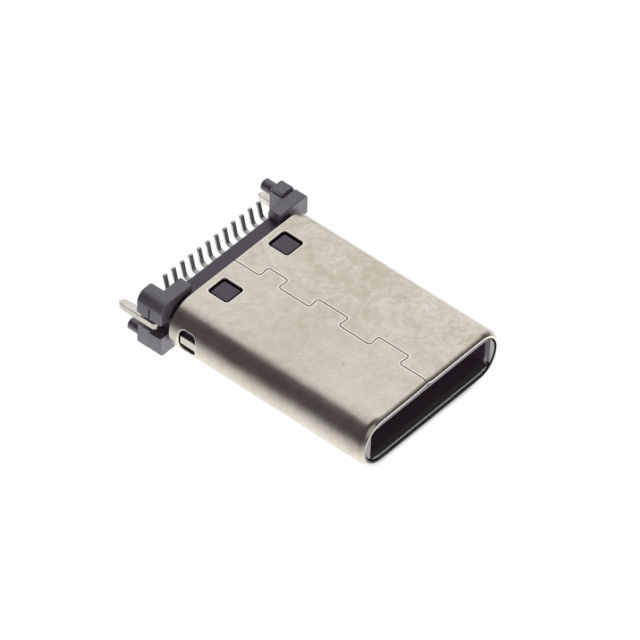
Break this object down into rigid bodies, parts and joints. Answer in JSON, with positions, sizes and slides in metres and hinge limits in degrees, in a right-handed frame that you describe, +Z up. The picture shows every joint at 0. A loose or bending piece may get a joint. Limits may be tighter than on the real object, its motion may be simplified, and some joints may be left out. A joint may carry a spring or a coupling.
{
  "type": "usb-c plug",
  "caption": "Upright board-mount plug with a rolled metal shell, a mouth with rows of sprung contacts, and soldering tails, locating pegs and legs at its back.",
  "frame": {"origin": "under the middle of the part's box, on the surface that it lies on", "axes": "+X along the mouth, +Y from the mouth to the board side, +Z up through the broad sides"},
  "size_m": [0.0086, 0.0124, 0.0028],
  "materials": {
    "shell_nickel": "satin nickel plate on drawn sheet, faintly mottled",
    "black_plastic": "moulded matte black",
    "plate_steel": "bright stamped sheet",
    "contact_tin": "dull tin plate on copper alloy"
  },
  "bodies": {
    "root": {"shell": "shell_nickel", "front_housing": "black_plastic", "upper_spring": "plate_steel", "lower_spring": "plate_steel", "latch_plate": "plate_steel", "upper_carrier": "black_plastic", "lower_carrier": "black_plastic", "contact_a1": "contact_tin", "contact_a2": "contact_tin", "contact_a3": "contact_tin", "contact_a4": "contact_tin", "contact_a5": "contact_tin", "contact_a6": "contact_tin", "contact_a7": "contact_tin", "contact_a8": "contact_tin", "contact_a9": "contact_tin", "contact_a10": "contact_tin", "contact_a11": "contact_tin", "contact_a12": "contact_tin", "contact_b1": "contact_tin", "contact_b2": "contact_tin", "contact_b3": "contact_tin", "contact_b4": "contact_tin", "contact_b5": "contact_tin", "contact_b6": "contact_tin", "contact_b7": "contact_tin", "contact_b8": "contact_tin", "contact_b9": "contact_tin", "contact_b10": "contact_tin", "contact_b11": "contact_tin", "contact_b12": "contact_tin"}
  },
  "joints": []
}
